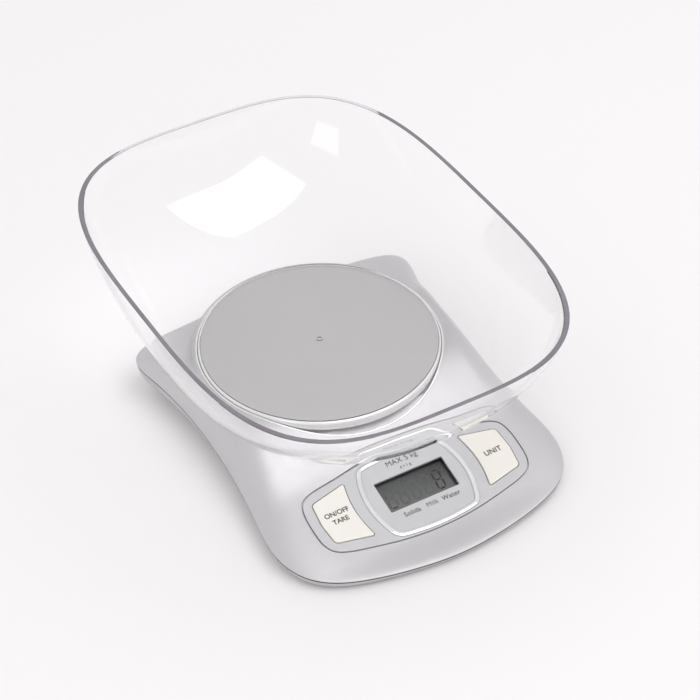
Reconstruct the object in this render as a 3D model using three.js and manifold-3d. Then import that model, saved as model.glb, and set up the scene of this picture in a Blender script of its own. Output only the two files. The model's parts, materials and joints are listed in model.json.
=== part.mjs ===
// Electronic kitchen scale: a wedge-shaped base, a round weighing platform on a load cell, and a clear bowl
// that lifts off. Millimetres, +Z up. The table is at z = 0 and the front of the scale faces -Y.
import * as THREE from "three";
import { mergeVertices } from "three/addons/utils/BufferGeometryUtils.js";
import Module from "manifold-3d";

const wasm = await Module();
wasm.setup();

// ---- Driving dimensions ----
const GAP = 0.3; // running and assembly clearance
const FINE_GAP = 0.15; // clearance round small trim

const BASE_FRONT = 148.6; // platform axis to the front of the base
const BOWL_HALF_LENGTH = 140.4; // platform axis to the rim, front and back
const BOWL_HALF_WIDTH = 102.8;
const RIM_Z = 101;
const RIM_THICKNESS = 2.8;
const BOWL_FLOOR_Z = 41;
const BOWL_FLOOR_RADIUS = 64.5;
const BOWL_FOOT_RADIUS = 66.2;
const RIM_SQUARENESS = 3.42; // exponent of the rounded-rectangle rim; 2 would be an ellipse

const PLATFORM_RADIUS = 66.5;
const PLATFORM_TOP = 38.9;
const PLATFORM_UNDERSIDE = 36;
const PLATFORM_BOTTOM = 33.2;
const PLATFORM_WALL = 1.6;
const WELL_RADIUS = 67.1; // the round well in the base that the platform sinks into
const WELL_FLOOR_Z = 30.6;
const COLLAR_TOP = 37.2; // top of the base round the well
const WING_DROP = 10.4; // how far the back corners lie below the collar

const SEAM_FRONT_Z = 5.1; // the joint line of the two housings climbs towards the back
const SEAM_SLOPE = 0.0856;
const SHELL = 2.2; // wall of the upper housing
const PANEL_BACKING = 0.9; // extra wall under the control panel
const FLOOR_BOTTOM = 2.5;
const FLOOR_TOP = 4.5;

const PANEL_Y = -102.5; // middle of the display, on the sloping front
const PANEL_Z = 15.5;
const PANEL_SLOPE = 0.255;
const PANEL_TILT = Math.atan(PANEL_SLOPE);
const PANEL_THICKNESS = 1.2;

const WINDOW = { halfWidth: 21, halfHeight: 9.8, radius: 0.9 };
const BUTTON_X = 47;
const BUTTON_RISE = 0.9;

const CELL = { halfWidth: 6.35, halfLength: 40, bottom: 8.8, top: 21.5 };
const BRACKET_TOP = 25.3;
const BATTERY = { radius: 5.15, halfLength: 22.2, z: 9.6, x: [28.5, 39.5] };

// ---- Colours and finishes ----
const FINISH = {
  silverPaint: { color: 0xc6c5c6, roughness: 0.42, metalness: 0.35 },
  silverPanel: { color: 0xd2d2d3, roughness: 0.3, metalness: 0.5 },
  greyPlastic: { color: 0xb9b9ba, roughness: 0.5, metalness: 0 },
  chrome: { color: 0xe8e8ea, roughness: 0.06, metalness: 1 },
  clear: { color: 0xf3f3f6, roughness: 0.04, metalness: 0, transparent: true, opacity: 0.28 },
  cream: { color: 0xf7f4ec, roughness: 0.35, metalness: 0 },
  lcd: { color: 0x4b4f4d, roughness: 0.2, metalness: 0 },
  black: { color: 0x151515, roughness: 0.6, metalness: 0 },
  rubber: { color: 0x3c3c3c, roughness: 0.9, metalness: 0 },
  pinkRubber: { color: 0xc98f8a, roughness: 0.8, metalness: 0 },
  board: { color: 0x1f5a34, roughness: 0.5, metalness: 0 },
  aluminium: { color: 0xc9cacc, roughness: 0.35, metalness: 1 },
  steel: { color: 0xa9abad, roughness: 0.3, metalness: 1 },
  silicone: { color: 0xf0efe9, roughness: 0.6, metalness: 0 },
  whiteCable: { color: 0xe9e9e6, roughness: 0.55, metalness: 0 },
  redLead: { color: 0xb1221c, roughness: 0.5, metalness: 0 },
  blackLead: { color: 0x1c1c1c, roughness: 0.5, metalness: 0 },
  batteryWrap: { color: 0x3a5f8f, roughness: 0.35, metalness: 0.2 },
};

// ---- Solid helpers ----
function toSolid(geometry) {
  const bare = geometry.clone();
  bare.deleteAttribute("normal");
  bare.deleteAttribute("uv");
  const merged = mergeVertices(bare, 1e-4);
  const mesh = new wasm.Mesh({
    numProp: 3,
    vertProperties: merged.attributes.position.array,
    triVerts: new Uint32Array(merged.index.array),
  });
  return new wasm.Manifold(mesh);
}

function toGeometry(solid) {
  const mesh = solid.simplify(0.01).getMesh();
  const geometry = new THREE.BufferGeometry();
  geometry.setAttribute("position", new THREE.BufferAttribute(new Float32Array(mesh.vertProperties), 3));
  geometry.setIndex(new THREE.BufferAttribute(new Uint32Array(mesh.triVerts), 1));
  return geometry;
}

const join = (first, ...others) =>
  toGeometry(others.reduce((solid, other) => solid.add(toSolid(other)), toSolid(first)));

const cut = (body, ...tools) =>
  toGeometry(tools.reduce((solid, tool) => solid.subtract(toSolid(tool)), toSolid(body)));

const common = (first, second) => toGeometry(toSolid(first).intersect(toSolid(second)));

const box = (x, y, z) =>
  new THREE.BoxGeometry(x[1] - x[0], y[1] - y[0], z[1] - z[0]).translate(
    (x[0] + x[1]) / 2,
    (y[0] + y[1]) / 2,
    (z[0] + z[1]) / 2,
  );

// An upright cylinder at (x, y) between two heights.
const post = (x, y, radius, z0, z1, sides = 20) =>
  new THREE.CylinderGeometry(radius, radius, z1 - z0, sides)
    .rotateX(Math.PI / 2)
    .translate(x, y, (z0 + z1) / 2);

// A shape in the XY plane made solid between two heights.
const slab = (shape, z0, z1) =>
  new THREE.ExtrudeGeometry(shape, { depth: z1 - z0, bevelEnabled: false, curveSegments: 3 })
    .translate(0, 0, z0);

// A profile of [radius, z] points turned about the Z axis.
const turned = (profile, segments) =>
  new THREE.LatheGeometry(
    profile.map(([r, z]) => new THREE.Vector2(r, z)),
    segments,
  ).rotateX(Math.PI / 2);

// A round bar along a smooth path.
const bar = (points, radius, sides = 6, steps = 24) => {
  const circle = new THREE.Shape().absarc(0, 0, radius, 0, 2 * Math.PI, false);
  const path = new THREE.CatmullRomCurve3(points.map((p) => new THREE.Vector3(...p)));
  return new THREE.ExtrudeGeometry(circle, { steps, curveSegments: sides / 2, extrudePath: path });
};

// A closed solid through rings of equal length that run anticlockwise seen from above, lowest ring first.
function loft(rings) {
  const count = rings[0].length;
  const middle = (ring) => ring.reduce((sum, p) => sum.add(p), new THREE.Vector3()).divideScalar(count);
  const points = [...rings.flat(), middle(rings[0]), middle(rings[rings.length - 1])];
  const bottom = points.length - 2;
  const top = points.length - 1;
  const lastRow = (rings.length - 1) * count;
  const index = [];
  for (let i = 0; i < count; i++) {
    const next = (i + 1) % count;
    for (let row = 0; row < lastRow; row += count) {
      index.push(row + i, row + next, row + count + next);
      index.push(row + i, row + count + next, row + count + i);
    }
    index.push(bottom, next, i);
    index.push(top, lastRow + i, lastRow + next);
  }
  return new THREE.BufferGeometry().setFromPoints(points).setIndex(index);
}

const smooth = (value, low, high) => THREE.MathUtils.smoothstep(value, low, high);

// Cubic between two points with a slope at each.
function hermite(y, y0, z0, slope0, y1, z1, slope1) {
  const width = y1 - y0;
  const t = (y - y0) / width;
  const a = 2 * t ** 3 - 3 * t ** 2 + 1;
  const b = t ** 3 - 2 * t ** 2 + t;
  const c = -2 * t ** 3 + 3 * t ** 2;
  const d = t ** 3 - t ** 2;
  return a * z0 + b * width * slope0 + c * z1 + d * width * slope1;
}

// ---- Footprint of the base ----
// Right half, from the middle of the front round to the middle of the back.
const HALF_FOOTPRINT = [
  [0, -BASE_FRONT],
  [26, -146.2],
  [47, -142],
  [64, -136.4],
  [76.5, -128.4],
  [84, -116],
  [86.6, -102],
  [85, -87],
  [82.2, -68],
  [80, -46],
  [79, -22],
  [79.6, 0],
  [81.4, 18],
  [84.2, 34],
  [87.4, 46],
  [88.6, 53.5],
  [86, 59],
  [78, 61.8],
  [62, 64.2],
  [46, 65.8],
  [30, 68],
  [14, 71],
  [0, 72],
];
const FOOTPRINT_POINTS = 64;

const footprint = (() => {
  const left = HALF_FOOTPRINT.slice(1, -1)
    .reverse()
    .map(([x, y]) => [-x, y]);
  const points = [...HALF_FOOTPRINT, ...left].map(([x, y]) => new THREE.Vector3(x, y, 0));
  const curve = new THREE.CatmullRomCurve3(points, true, "centripetal");
  return curve.getSpacedPoints(FOOTPRINT_POINTS).slice(0, FOOTPRINT_POINTS);
})();

const inward = footprint.map((point, i) => {
  const before = footprint[(i + FOOTPRINT_POINTS - 1) % FOOTPRINT_POINTS];
  const after = footprint[(i + 1) % FOOTPRINT_POINTS];
  return new THREE.Vector3(before.y - after.y, after.x - before.x, 0).normalize();
});

// Directions towards the base's spine: long insets follow these, so that they don't cross at tight corners.
const towardsSpine = footprint.map((point) => {
  const spineY = THREE.MathUtils.clamp(0.8 * point.y, -100, 30);
  return new THREE.Vector3(-point.x, spineY - point.y, 0).normalize();
});

const seamZ = (y) => SEAM_FRONT_Z + SEAM_SLOPE * (y + BASE_FRONT);

const panelZ = (y) => PANEL_Z + PANEL_SLOPE * (y - PANEL_Y);

// Height of the top of the base: high beside the platform, a fall to the sloping panel, an apron at the front
// and two low wings at the back corners.
function deckZ(x, y) {
  const fall = { front: -86, back: -35 };
  const apron = { back: -128, frontZ: 6.9 };
  if (y > fall.back) return COLLAR_TOP - WING_DROP * smooth(Math.hypot(x, y), 60, 74) * smooth(y, 5, 40);
  if (y > fall.front) {
    return hermite(y, fall.front, panelZ(fall.front), PANEL_SLOPE, fall.back, COLLAR_TOP, 0);
  }
  if (y > apron.back) return panelZ(y);
  return hermite(y, -BASE_FRONT, apron.frontZ, 0, apron.back, panelZ(apron.back), PANEL_SLOPE);
}

// Height of the ceiling inside the housing, which also stays under the platform's well.
const ceilingZ = (x, y) => Math.min(deckZ(x, y) - PANEL_BACKING * smooth(-y, 50, 70), WELL_FLOOR_Z) - SHELL;

// Width of the rounded edge: tight beside the platform and at the back, broad further forward.
const edgeWidth = (y) => 9 + 10 * smooth(-y, 15, 60) - 4 * smooth(-y, 120, 145);

// A ring of the upper housing's skin, `inset` inside the footprint and `degrees` round the edge.
function edgeRing(inset, degrees, topZ) {
  const turn = THREE.MathUtils.degToRad(degrees);
  return footprint.map((point, i) => {
    const p = point.clone().addScaledVector(inward[i], inset);
    p.addScaledVector(towardsSpine[i], edgeWidth(point.y) * (1 - Math.cos(turn)));
    const seam = seamZ(p.y);
    p.z = seam + (topZ(p.x, p.y) - seam) * Math.sin(turn);
    return p;
  });
}

function upperSkin(inset, topZ, edgeTurns, shrinks) {
  const centre = new THREE.Vector3(0, -40, 0);
  const rings = edgeTurns.map((degrees) => edgeRing(inset, degrees, topZ));
  const last = rings[rings.length - 1];
  for (const shrink of shrinks) {
    rings.push(
      last.map((p) => {
        const q = p.clone().sub(centre).multiplyScalar(shrink).add(centre);
        q.z = topZ(q.x, q.y);
        return q;
      }),
    );
  }
  return rings;
}

// ---- Control panel outlines, in the panel's own plane (x across, y up the slope) ----
const panelFrame = new THREE.Matrix4()
  .makeTranslation(0, PANEL_Y, PANEL_Z)
  .multiply(new THREE.Matrix4().makeRotationX(PANEL_TILT));

const onPanel = (geometry) => geometry.applyMatrix4(panelFrame);

// A shape through corner points, mirrored about the Y axis, with each corner rounded.
function roundedShape(corners, radius, grow = 0) {
  const count = corners.length;
  const point = (i) => new THREE.Vector2(...corners[(i + count) % count]);
  const shape = new THREE.Shape();
  corners.forEach((corner, i) => {
    const here = point(i);
    const toBefore = point(i - 1).sub(here).normalize();
    const toAfter = point(i + 1).sub(here).normalize();
    const outward = toBefore.clone().add(toAfter).negate().normalize();
    const grown = here.clone().addScaledVector(outward, grow);
    const start = grown.clone().addScaledVector(toBefore, radius);
    const end = grown.clone().addScaledVector(toAfter, radius);
    if (i === 0) shape.moveTo(start.x, start.y);
    else shape.lineTo(start.x, start.y);
    shape.quadraticCurveTo(grown.x, grown.y, end.x, end.y);
  });
  shape.closePath();
  return shape;
}

// A closed outline that is symmetric about the Y axis: the right half runs from the bottom to the top.
function mirroredShape(half, grow = 0) {
  const left = half
    .slice()
    .reverse()
    .filter(([x]) => x > 0)
    .map(([x, y]) => [-x, y]);
  const points = [...half, ...left].map(([x, y]) => new THREE.Vector3(x, y, 0));
  const curve = new THREE.CatmullRomCurve3(points, true, "centripetal");
  const count = 48;
  const ring = curve.getSpacedPoints(count).slice(0, count);
  return new THREE.Shape(
    ring.map((p, i) => {
      const before = ring[(i + count - 1) % count];
      const after = ring[(i + 1) % count];
      const normal = new THREE.Vector2(after.y - before.y, before.x - after.x).normalize();
      return new THREE.Vector2(p.x + normal.x * grow, p.y + normal.y * grow);
    }),
  );
}

const PANEL_OUTLINE = [
  [0, -27.8],
  [20, -26.6],
  [41, -22.8],
  [53, -19.9],
  [59.5, -16.6],
  [62.4, -10.5],
  [63, -2],
  [62.6, 8.6],
  [60.2, 15.6],
  [54.5, 18.4],
  [38, 21.1],
  [20, 24.2],
  [0, 25.4],
];

const TRIM_OUTLINE = [
  [0, -26.9],
  [14, -26.1],
  [23.6, -24.4],
  [25.8, -22.4],
  [28.6, -15.6],
  [30.4, -8],
  [30.8, -1],
  [30.2, 6],
  [28.6, 13],
  [25.8, 19.6],
  [23.4, 21.8],
  [12, 23.2],
  [0, 23.7],
];
const TRIM_WIDTH = 2.7;

const BUTTON_INNER = { x: 35.2, top: 16.8, bottom: -17.6, bulge: 2.6 };

// One button's outline, on the side given by `side` (-1 left, 1 right), grown by `grow`.
function buttonShape(side, grow = 0) {
  const corners = [
    [BUTTON_INNER.x, BUTTON_INNER.bottom],
    [56.2, -13.2],
    [57.6, -1],
    [56.4, 12.2],
    [BUTTON_INNER.x, BUTTON_INNER.top],
    [BUTTON_INNER.x + 0.7 * BUTTON_INNER.bulge, 9.5],
    [BUTTON_INNER.x + BUTTON_INNER.bulge, -0.4],
    [BUTTON_INNER.x + 0.7 * BUTTON_INNER.bulge, -10.3],
  ].map(([x, y]) => [side * x, y]);
  if (side < 0) corners.reverse();
  const centre = new THREE.Vector2(side * BUTTON_X, -0.4);
  const scaled = corners.map(([x, y]) => [
    centre.x + (x - centre.x) * (1 + grow / 10.5),
    centre.y + (y - centre.y) * (1 + grow / 16),
  ]);
  return roundedShape(scaled, 1.6);
}

const windowShape = (grow = 0) =>
  roundedShape(
    [
      [-WINDOW.halfWidth - grow, -WINDOW.halfHeight - grow],
      [WINDOW.halfWidth + grow, -WINDOW.halfHeight - grow],
      [WINDOW.halfWidth + grow, WINDOW.halfHeight + grow],
      [-WINDOW.halfWidth - grow, WINDOW.halfHeight + grow],
    ],
    WINDOW.radius,
  );

// ---- Fixings ----
const BOARD_SCREWS = [
  [-31, 12],
  [31, 12],
  [-31, -6],
  [31, -6],
];
const HOUSING_SCREWS = [
  [-57, -68],
  [57, -68],
  [-54, 10],
  [54, 10],
  [0, 47],
];
const CELL_SCREWS_Y = [-36, -27];
const BRACKET_SCREWS_Y = [27, 36];
const SUPPORT_SCREWS = [
  [0, 11],
  [-9, -7],
  [9, -7],
];
const FEET = [
  [-58, -116],
  [58, -116],
  [-55.5, 34],
  [55.5, 34],
];
const SUPPORT_HOLE_RADIUS = 26;

// Levels under the panel's surface, along its normal.
const LEVEL = {
  pocket: -PANEL_THICKNESS - FINE_GAP,
  frameTop: -1.5,
  lensTop: -2.45,
  lcdTop: -3.3,
  lcdBottom: -5.1,
  frameBottom: -5.2,
  boardTop: -7.05,
  boardBottom: -8.3,
};

// ---- Housings ----
// The raised collar round the back half of the platform, above the low wings.
function collar() {
  const ring = turned(
    [
      [WELL_RADIUS - 0.5, 25.8],
      [77, 25.8],
      [77, 26.6],
      [73.6, 27.8],
      [71.3, 30.2],
      [70.2, 33.5],
      [69.6, COLLAR_TOP],
      [WELL_RADIUS - 0.5, COLLAR_TOP],
      [WELL_RADIUS - 0.5, 25.8],
    ],
    64,
  );
  const outline = (z) => footprint.map((p, i) => p.clone().addScaledVector(inward[i], 0.3).setZ(z));
  const within = loft([outline(24), outline(RIM_Z)]);
  return cut(common(ring, within), box([-90, 90], [-90, 0], [20, RIM_Z]));
}

function upperHousing() {
  const outerShrinks = [0.95, 0.9, 0.85, 0.8, 0.7, 0.6, 0.5, 0.4, 0.2];
  const skin = loft(upperSkin(0, deckZ, [0, 18, 36, 54, 72, 90], outerShrinks));
  const hollow = loft(upperSkin(SHELL, ceilingZ, [0, 30, 60, 90], [0.94, 0.86, 0.75, 0.62, 0.5, 0.4, 0.3]));
  const belowSeam = loft(
    [-6, 0.2].map((rise) =>
      footprint.map((p, i) => {
        const q = p.clone().addScaledVector(inward[i], SHELL);
        q.z = seamZ(q.y) + rise;
        return q;
      }),
    ),
  );
  const well = post(0, 0, WELL_RADIUS, WELL_FLOOR_Z, RIM_Z, 64);
  const bossTop = (x, y) => Math.min(deckZ(x, y), WELL_FLOOR_Z) - 1;
  const housingBosses = HOUSING_SCREWS.map(([x, y]) => post(x, y, 3.6, FLOOR_TOP + GAP, bossTop(x, y), 12));
  const boardBosses = BOARD_SCREWS.map(([x, y]) => onPanel(post(x, y, 2.4, LEVEL.boardTop + 0.1, -1.6, 10)));
  const shell = cut(join(cut(skin, hollow, belowSeam), collar()), well);
  return cut(
    join(shell, ...housingBosses, ...boardBosses),
    post(0, 0, SUPPORT_HOLE_RADIUS, WELL_FLOOR_Z - 10, WELL_FLOOR_Z + 5, 40),
    onPanel(slab(mirroredShape(PANEL_OUTLINE, GAP), LEVEL.pocket, 6)),
    onPanel(slab(windowShape(4.2), -6, 1)),
    onPanel(slab(buttonShape(-1, 1.5), -6, 1)),
    onPanel(slab(buttonShape(1, 1.5), -6, 1)),
    ...HOUSING_SCREWS.map(([x, y]) => post(x, y, 1.55, 0, FLOOR_TOP + 12, 10)),
    ...BOARD_SCREWS.map(([x, y]) => onPanel(post(x, y, 1.15, LEVEL.boardTop - 1, -2.9, 10))),
  );
}

// The lower housing curves under like a boat's hull, so that it hides below the base's edge.
const undercut = (y) => 2.5 + 17.5 * smooth(y, -140, -40);

function lowerRing(inset, share, z) {
  return footprint.map((point, i) => {
    const p = point.clone().addScaledVector(inward[i], inset);
    p.addScaledVector(towardsSpine[i], undercut(point.y) * share);
    p.z = z(p.y);
    return p;
  });
}

function lowerSkin(inset, floorZ) {
  const rise = (fraction) => (y) => floorZ + (seamZ(y) - GAP - floorZ) * fraction;
  const profile = [
    [1, 0],
    [0.55, 0.22],
    [0.2, 0.55],
    [0, 1],
  ];
  return profile.map(([share, fraction]) => lowerRing(inset, share, rise(fraction)));
}

const COMPARTMENT = { x: [22.2, 45.8], y: [-26, 26], top: 15.6, wall: 1.6 };
const DOOR = { x: [20.3, 47.7], y: [-33.7, 31.7], top: 3.9 };
const DOOR_TRAVEL = 14;

const widen = ([low, high], by) => [low - by, high + by];

function lowerHousing() {
  const open = [...lowerSkin(1.8, FLOOR_TOP), lowerRing(1.8, 0, (y) => seamZ(y) + 8)];
  const pan = cut(loft(lowerSkin(0.6, FLOOR_BOTTOM)), loft(open));
  const { x, y, top, wall } = COMPARTMENT;
  const recessY = [DOOR.y[0] - GAP, DOOR.y[1] + DOOR_TRAVEL + GAP];
  const additions = [
    box(widen(DOOR.x, 2), widen(recessY, 2), [FLOOR_BOTTOM, 5.8]),
    box(widen(x, wall), widen(y, wall), [FLOOR_BOTTOM, top + wall]),
    box([-9, 9], [-41, -21], [FLOOR_BOTTOM, CELL.bottom - GAP]),
    box([-9, 9], [30, 38], [FLOOR_BOTTOM, CELL.bottom - 1.2]),
  ];
  const removals = [
    box(widen(DOOR.x, GAP), recessY, [0, DOOR.top + GAP]),
    box(x, y, [0, top]),
    ...CELL_SCREWS_Y.map((at) => post(0, at, 4.2, 0, 5.9, 16)),
    ...CELL_SCREWS_Y.map((at) => post(0, at, 2.2, 0, 12, 12)),
    ...HOUSING_SCREWS.map(([sx, sy]) => post(sx, sy, 3.5, 0, 3.8, 12)),
    ...HOUSING_SCREWS.map(([sx, sy]) => post(sx, sy, 1.8, 0, 6, 10)),
    ...FEET.map(([fx, fy]) => post(fx, fy, 6.3, 0, 3.3, 20)),
  ];
  return cut(join(pan, ...additions), ...removals);
}

const foot = ([x, y]) =>
  turned(
    [
      [0, 0],
      [5, 0],
      [5.8, 0.6],
      [6, 1.4],
      [6, 3],
      [0, 3],
    ],
    20,
  ).translate(x, y, 0);

// A pan-head screw whose head rests at headZ; `up` is 1 when the shank points up.
function screw(x, y, headZ, up, headRadius, headHeight, shankRadius, shankLength) {
  const profile = [
    [0, -headHeight],
    [headRadius * 0.7, -headHeight],
    [headRadius, -headHeight * 0.4],
    [headRadius, 0],
    [shankRadius, 0],
    [shankRadius, shankLength - shankRadius],
    [0, shankLength],
  ];
  const turnedScrew = turned(profile, 12);
  if (up < 0) turnedScrew.rotateX(Math.PI);
  const slot = box([-headRadius * 1.2, headRadius * 1.2], [-0.4, 0.4], [-2 * headHeight, -headHeight * 0.55]);
  if (up < 0) slot.rotateX(Math.PI);
  return cut(turnedScrew, slot).translate(x, y, headZ);
}

// ---- Control panel, display and buttons ----
function trimRing(grow, z0, z1) {
  const outer = slab(mirroredShape(TRIM_OUTLINE, grow), z0, z1);
  const inner = slab(mirroredShape(TRIM_OUTLINE, -TRIM_WIDTH - grow), z0 - 1, z1 + 1);
  return cut(outer, inner);
}

const controlPanel = () =>
  onPanel(
    cut(
      slab(mirroredShape(PANEL_OUTLINE), -PANEL_THICKNESS, 0.2),
      trimRing(FINE_GAP, -0.55, 2),
      slab(windowShape(), -5, 2),
      slab(buttonShape(-1, GAP), -5, 2),
      slab(buttonShape(1, GAP), -5, 2),
    ),
  );

const displayTrim = () => onPanel(trimRing(0, -0.4, 0.95));

function lcdFrame() {
  const outer = slab(windowShape(3.8), LEVEL.frameBottom, LEVEL.frameTop);
  const cavity = slab(windowShape(1.8), LEVEL.frameBottom - 1, LEVEL.lensTop + FINE_GAP);
  return onPanel(cut(outer, cavity, slab(windowShape(), -9, 0)));
}

const displayLens = () => onPanel(slab(windowShape(1.6), LEVEL.lensTop - 0.7, LEVEL.lensTop));
const lcdGlass = () => onPanel(slab(windowShape(1.6), LEVEL.lcdBottom, LEVEL.lcdTop));
const contactStrip = () => onPanel(box([-20, 20], [7.6, 10], [LEVEL.boardTop + 0.1, LEVEL.lcdBottom - 0.1]));

function mainBoard() {
  const board = slab(
    roundedShape(
      [
        [-58, -9],
        [58, -9],
        [58, 9],
        [38, 17],
        [-38, 17],
        [-58, 9],
      ],
      1,
    ),
    LEVEL.boardBottom,
    LEVEL.boardTop,
  );
  return onPanel(cut(board, ...BOARD_SCREWS.map(([x, y]) => post(x, y, 1.3, -12, 0, 10))));
}

const chipCover = () =>
  onPanel(
    turned(
      [
        [0, -1.7],
        [3, -1.4],
        [5, 0],
        [0, 0],
      ],
      16,
    ).translate(8, 3, LEVEL.boardBottom - 0.1),
  );

function button(side) {
  const cap = slab(buttonShape(side, -0.3), 0, BUTTON_RISE);
  const body = slab(buttonShape(side), -PANEL_THICKNESS - GAP, 0.4);
  const flange = slab(buttonShape(side, 1), -2.3, -PANEL_THICKNESS - GAP);
  const plunger = post(side * BUTTON_X, 0, 2.5, -3.3, -2, 12);
  return onPanel(join(body, cap, flange, plunger));
}

const keyDome = (side) =>
  onPanel(
    turned(
      [
        [0, -6.9],
        [5.6, -6.9],
        [5.6, -6.3],
        [4.4, -6.1],
        [3, -4.5],
        [2.4, -4.2],
        [0, -4.2],
      ],
      16,
    ).translate(side * BUTTON_X, 0, 0),
  );

// ---- Weighing parts ----
function loadCell() {
  const { halfWidth, halfLength, bottom, top } = CELL;
  const middle = (bottom + top) / 2;
  const bores = [-9, 9].map((y) =>
    new THREE.CylinderGeometry(4.6, 4.6, 30, 20).rotateZ(Math.PI / 2).translate(0, y, middle),
  );
  return cut(
    box([-halfWidth, halfWidth], [-halfLength, halfLength], [bottom, top]),
    ...bores,
    box([-15, 15], [-9, 9], [middle - 1.5, middle + 1.5]),
    ...CELL_SCREWS_Y.map((y) => post(0, y, 2.2, 0, top - 3, 12)),
    ...BRACKET_SCREWS_Y.map((y) => post(0, y, 2.2, bottom + 3, 40, 12)),
  );
}

const gaugeCover = (z0, z1) => box([-5, 5], [-13, 13], [z0, z1]);

const cellBracket = () =>
  cut(
    join(box([-8, 8], [22, 40], [CELL.top + GAP, 24]), box([-14, 14], [-17, 40], [23.3, BRACKET_TOP])),
    ...BRACKET_SCREWS_Y.map((y) => post(0, y, 2.2, 0, 40, 12)),
    ...SUPPORT_SCREWS.map(([x, y]) => post(x, y, 1.4, 0, 40, 10)),
  );

function platformSupport() {
  const bottom = BRACKET_TOP + GAP;
  const cup = turned(
    [
      [0, bottom],
      [20, bottom],
      [20, 34],
      [54, 34],
      [54, 35.7],
      [17.5, 35.7],
      [17.5, bottom + 2],
      [0, bottom + 2],
    ],
    32,
  );
  const ribs = [0, 1, 2, 3, 4, 5].map((i) =>
    box([18, 50], [-0.9, 0.9], [32.6, 34.5]).rotateZ((i * Math.PI) / 3),
  );
  return cut(join(cup, ...ribs), ...SUPPORT_SCREWS.map(([x, y]) => post(x, y, 1.7, 0, 40, 10)));
}

const platform = () =>
  turned(
    [
      [0, PLATFORM_UNDERSIDE],
      [PLATFORM_RADIUS - PLATFORM_WALL, PLATFORM_UNDERSIDE],
      [PLATFORM_RADIUS - PLATFORM_WALL, PLATFORM_BOTTOM],
      [PLATFORM_RADIUS, PLATFORM_BOTTOM],
      [PLATFORM_RADIUS, PLATFORM_TOP - 0.7],
      [PLATFORM_RADIUS - 0.7, PLATFORM_TOP],
      [0, PLATFORM_TOP],
    ],
    64,
  );

// ---- Bowl ----
// Share of the way out from the foot to the rim, at a share `t` of the height.
const bowlSpread = (t) => (1 - (1 - t) ** 1.81) ** (1 / 1.97);

function bowlRing(t, footRadius, floorZ, wall) {
  const spread = bowlSpread(t);
  const a = footRadius + (BOWL_HALF_WIDTH - wall - footRadius) * spread;
  const b = footRadius + (BOWL_HALF_LENGTH - wall - footRadius) * spread;
  const power = 2 + (RIM_SQUARENESS - 2) * t ** 1.17;
  const z = floorZ + (RIM_Z - floorZ) * t;
  const count = 52;
  return Array.from({ length: count }, (_, i) => {
    const angle = (2 * Math.PI * i) / count;
    const c = Math.cos(angle);
    const s = Math.sin(angle);
    const radius = (Math.abs(c / a) ** power + Math.abs(s / b) ** power) ** (-1 / power);
    return new THREE.Vector3(radius * c, radius * s, z);
  });
}

function bowl() {
  const levels = [0.03, 0.1, 0.22, 0.4, 0.62, 0.82, 1];
  const footZ = PLATFORM_TOP + GAP;
  const outside = [0, ...levels].map((t) => bowlRing(t, BOWL_FOOT_RADIUS, footZ, 0));
  const inside = [0, ...levels].map((t) => bowlRing(t, BOWL_FLOOR_RADIUS, BOWL_FLOOR_Z, RIM_THICKNESS));
  const mouth = inside[inside.length - 1].map((p) => p.clone().setZ(RIM_Z + 1));
  const underFloor = post(0, 0, BOWL_FOOT_RADIUS - 2.6, 0, footZ + 0.6, 48);
  return cut(loft(outside), loft([...inside, mouth]), underFloor);
}

// ---- Batteries and wiring ----
function battery(x, polarity) {
  const { radius, halfLength, z } = BATTERY;
  const profile = [
    [0, -halfLength],
    [radius - 0.6, -halfLength],
    [radius, -halfLength + 0.6],
    [radius, halfLength - 1.6],
    [radius - 0.6, halfLength - 1],
    [1.9, halfLength - 1],
    [1.9, halfLength],
    [0, halfLength],
  ];
  const turnY = polarity > 0 ? -Math.PI / 2 : Math.PI / 2;
  return turned(profile, 20).rotateX(turnY).translate(x, 0, z);
}

function contactSpring(x, side) {
  const turns = 3;
  const points = Array.from({ length: turns * 10 + 1 }, (_, i) => {
    const angle = (i / 10) * 2 * Math.PI;
    const radius = 3.6 - (1.6 * i) / (turns * 10);
    const y = side * (25.1 - (2.4 * i) / (turns * 10));
    return [x + radius * Math.cos(angle), y, BATTERY.z + radius * Math.sin(angle)];
  });
  return bar(points, 0.25, 4, turns * 12);
}

const contactPlate = (x, side) => {
  const inner = side * 25.45;
  const outer = side * 25.85;
  return box([x - 4.4, x + 4.4], [Math.min(inner, outer), Math.max(inner, outer)], [5.5, 14.2]);
};

const CELL_CABLE_ROUTE = [
  [CELL.halfWidth + 1.8, -14, 15],
  [CELL.halfWidth + 2.2, -24, 12],
  [14, -38, 8],
  [16, -56, 7],
  [14, -72, 8.5],
  [10, -82, 10],
];
const LEAD_ROUTES = {
  red: [
    [24.6, -29.4, 12],
    [25.5, -36, 9.5],
    [27, -54, 7.4],
    [25, -72, 8.6],
    [22, -82, 10],
  ],
  black: [
    [43.4, -29.4, 12],
    [42, -37, 9.5],
    [38, -54, 7.4],
    [33, -72, 8.6],
    [29, -82, 10],
  ],
};

// ---- Assembly ----
const scale = new THREE.Group();
// The origin is the middle of the object's own box, on the table.
scale.position.y = (BASE_FRONT - BOWL_HALF_LENGTH) / 2;

function add(name, geometry, finish) {
  const bare = geometry.clone();
  bare.deleteAttribute("normal");
  bare.deleteAttribute("uv");
  const shaded = mergeVertices(bare, 1e-4);
  shaded.computeVertexNormals();
  const mesh = new THREE.Mesh(shaded, new THREE.MeshStandardMaterial(FINISH[finish]));
  mesh.name = name;
  scale.add(mesh);
}

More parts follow.
